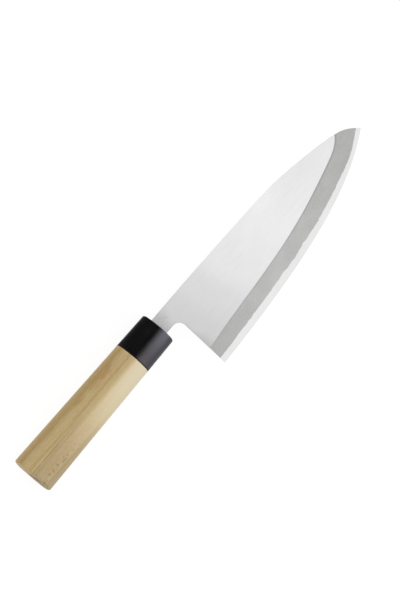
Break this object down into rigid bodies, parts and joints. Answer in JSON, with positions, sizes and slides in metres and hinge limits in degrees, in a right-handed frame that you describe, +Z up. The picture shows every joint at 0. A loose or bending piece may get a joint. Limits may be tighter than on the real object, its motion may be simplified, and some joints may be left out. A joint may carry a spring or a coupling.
{
  "type": "deba knife",
  "caption": "Thick single-bevelled kitchen knife with a clad steel blade, hollow-ground back, black ferrule and plain pale wooden handle of chestnut section.",
  "frame": {"origin": "bottom centre of the knife's box as it lies on its left side, on the surface that it lies on", "axes": "+X from the butt to the tip along the handle's axis, +Y to the spine (the cutting edge faces -Y), +Z up out of the bevelled face"},
  "size_m": [0.3314, 0.0656, 0.0251],
  "materials": {
    "soft_iron": "fine satin on the flat, matt grey on the bevel",
    "hard_steel": "bright fine-ground",
    "ferrule_black": "polished black, horn-like",
    "magnolia_wood": "plain sanded magnolia, unvarnished",
    "dark_resin": "cured dark resin"
  },
  "bodies": {
    "root": {"blade_cladding": "soft_iron", "edge_steel": "hard_steel", "ferrule": "ferrule_black", "handle": "magnolia_wood", "tang_sealant": "dark_resin"}
  },
  "joints": []
}
